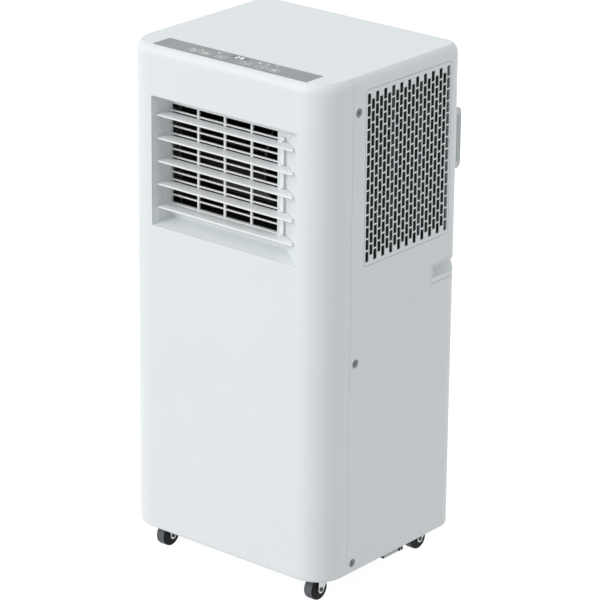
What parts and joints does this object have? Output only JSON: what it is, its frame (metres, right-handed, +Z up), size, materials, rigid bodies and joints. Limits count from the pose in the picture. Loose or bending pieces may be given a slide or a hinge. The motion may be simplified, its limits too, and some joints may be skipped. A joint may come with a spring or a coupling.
{
  "type": "portable air conditioner",
  "caption": "Tall white floor-standing air conditioner with a louvred front outlet, side intake grille, rear exhaust collar and swivel casters.",
  "frame": {"origin": "on the floor, in the middle of the overall footprint, rear fittings included", "axes": "+Z up, -Y out of the front (air outlet) face, +X towards the side with the intake grille"},
  "size_m": [0.325, 0.294, 0.685],
  "materials": {
    "shell": "fine satin moulded plastic, white",
    "louvre": "satin white",
    "strip": "flat grey film",
    "tray": "dark grey, matte",
    "cleat": "grey, matte",
    "spout": "light grey, matte",
    "plug": "soft black rubber",
    "screw": "zinc-plated",
    "filter": "fine dark nylon mesh",
    "inner_plastic": "black, matte",
    "fan": "black, matte",
    "motor": "black paint",
    "shaft": "ground steel",
    "coil": "thin fins",
    "copper": "drawn copper tube",
    "caster_steel": "zinc-plated pressing",
    "axle": "blackened rivet",
    "wheel": "black nylon",
    "tread": "grey rubber"
  },
  "bodies": {
    "root": {"front_panel": "shell", "rear_cover": "shell", "top_cover": "shell", "rear_intake_grille": "shell", "exhaust_collar": "shell", "grip_insert_right": "shell", "grip_insert_left": "shell", "outlet_frame": "shell", "outlet_guard": "louvre", "control_strip": "strip", "base_tray": "tray", "cord_cleat_right": "cleat", "cord_cleat_left": "cleat", "drain_spout": "spout", "compressor_grommets": "plug", "cord_gland": "plug", "shell_screws": "screw", "blower_housing": "inner_plastic", "condenser_housing": "inner_plastic", "exhaust_duct": "inner_plastic", "mid_deck": "inner_plastic", "control_box": "inner_plastic", "blower_motor": "motor", "condenser_motor": "motor", "compressor": "motor", "accumulator": "motor", "evaporator_coil": "coil", "condenser_coil": "coil", "discharge_pipe": "copper", "suction_pipe": "copper", "liquid_pipe": "copper"},
    "grille": {"side_grille": "shell", "air_filter": "filter"},
    "louvre_1": {"louvre_1": "louvre"},
    "louvre_2": {"louvre_2": "louvre"},
    "louvre_3": {"louvre_3": "louvre"},
    "louvre_4": {"louvre_4": "louvre"},
    "louvre_5": {"louvre_5": "louvre"},
    "louvre_link": {"louvre_link": "louvre"},
    "upper_fan": {"blower_wheel": "fan", "blower_shaft": "shaft"},
    "lower_fan": {"condenser_wheel": "fan", "condenser_shaft": "shaft"},
    "drain_plug": {"drain_plug": "plug"},
    "caster_front_left": {"caster_fork_front_left": "caster_steel", "caster_axle_front_left": "axle"},
    "roller_front_left": {"caster_wheel_front_left": "wheel", "caster_tread_front_left": "tread"},
    "caster_front_right": {"caster_fork_front_right": "caster_steel", "caster_axle_front_right": "axle"},
    "roller_front_right": {"caster_wheel_front_right": "wheel", "caster_tread_front_right": "tread"},
    "caster_rear_left": {"caster_fork_rear_left": "caster_steel", "caster_axle_rear_left": "axle"},
    "roller_rear_left": {"caster_wheel_rear_left": "wheel", "caster_tread_rear_left": "tread"},
    "caster_rear_right": {"caster_fork_rear_right": "caster_steel", "caster_axle_rear_right": "axle"},
    "roller_rear_right": {"caster_wheel_rear_right": "wheel", "caster_tread_rear_right": "tread"}
  },
  "joints": [
    {"name": "grille_pull", "type": "slide", "parent": "root", "child": "grille", "axis": [1, 0, 0], "range_m": [0, 0.06]},
    {"name": "louvre_1_tilt", "type": "hinge", "parent": "root", "child": "louvre_1", "pos_m": [0, -0.1295, 0.5943], "axis": [1, 0, 0], "range_deg": [-40, 40]},
    {"name": "louvre_2_tilt", "type": "hinge", "parent": "root", "child": "louvre_2", "pos_m": [0, -0.1295, 0.5643], "axis": [1, 0, 0], "range_deg": [-40, 40]},
    {"name": "louvre_3_tilt", "type": "hinge", "parent": "root", "child": "louvre_3", "pos_m": [0, -0.1295, 0.5343], "axis": [1, 0, 0], "range_deg": [-40, 40]},
    {"name": "louvre_4_tilt", "type": "hinge", "parent": "root", "child": "louvre_4", "pos_m": [0, -0.1295, 0.5043], "axis": [1, 0, 0], "range_deg": [-40, 40]},
    {"name": "louvre_5_tilt", "type": "hinge", "parent": "root", "child": "louvre_5", "pos_m": [0, -0.1295, 0.4743], "axis": [1, 0, 0], "range_deg": [-40, 40]},
    {"name": "louvre_link_turn", "type": "hinge", "parent": "louvre_3", "child": "louvre_link", "pos_m": [0, -0.1214, 0.5343], "axis": [1, 0, 0], "range_deg": [-40, 40]},
    {"name": "upper_fan_spin", "type": "hinge", "parent": "root", "child": "upper_fan", "pos_m": [0, -0.02, 0.5415], "axis": [1, 0, 0], "continuous": true},
    {"name": "lower_fan_spin", "type": "hinge", "parent": "root", "child": "lower_fan", "pos_m": [-0.045, 0, 0.2265], "axis": [0, 1, 0], "continuous": true},
    {"name": "drain_plug_pull", "type": "slide", "parent": "root", "child": "drain_plug", "axis": [0, 1, 0], "range_m": [0, 0.03]},
    {"name": "swivel_front_left", "type": "hinge", "parent": "root", "child": "caster_front_left", "pos_m": [-0.1246, -0.105, 0.03], "axis": [0, 0, 1], "continuous": true},
    {"name": "roll_front_left", "type": "hinge", "parent": "caster_front_left", "child": "roller_front_left", "pos_m": [-0.1246, -0.112, 0.015], "axis": [1, 0, 0], "continuous": true},
    {"name": "swivel_front_right", "type": "hinge", "parent": "root", "child": "caster_front_right", "pos_m": [0.1246, -0.105, 0.03], "axis": [0, 0, 1], "continuous": true},
    {"name": "roll_front_right", "type": "hinge", "parent": "caster_front_right", "child": "roller_front_right", "pos_m": [0.1246, -0.112, 0.015], "axis": [1, 0, 0], "continuous": true},
    {"name": "swivel_rear_left", "type": "hinge", "parent": "root", "child": "caster_rear_left", "pos_m": [-0.1246, 0.0974, 0.03], "axis": [0, 0, 1], "continuous": true},
    {"name": "roll_rear_left", "type": "hinge", "parent": "caster_rear_left", "child": "roller_rear_left", "pos_m": [-0.1246, 0.0904, 0.015], "axis": [1, 0, 0], "continuous": true},
    {"name": "swivel_rear_right", "type": "hinge", "parent": "root", "child": "caster_rear_right", "pos_m": [0.1246, 0.0974, 0.03], "axis": [0, 0, 1], "continuous": true},
    {"name": "roll_rear_right", "type": "hinge", "parent": "caster_rear_right", "child": "roller_rear_right", "pos_m": [0.1246, 0.0904, 0.015], "axis": [1, 0, 0], "continuous": true}
  ],
  "couplings": [
    {"joint": "louvre_1_tilt", "follows": "louvre_3_tilt", "ratio": 1},
    {"joint": "louvre_2_tilt", "follows": "louvre_3_tilt", "ratio": 1},
    {"joint": "louvre_4_tilt", "follows": "louvre_3_tilt", "ratio": 1},
    {"joint": "louvre_5_tilt", "follows": "louvre_3_tilt", "ratio": 1},
    {"joint": "louvre_link_turn", "follows": "louvre_3_tilt", "ratio": -1}
  ]
}
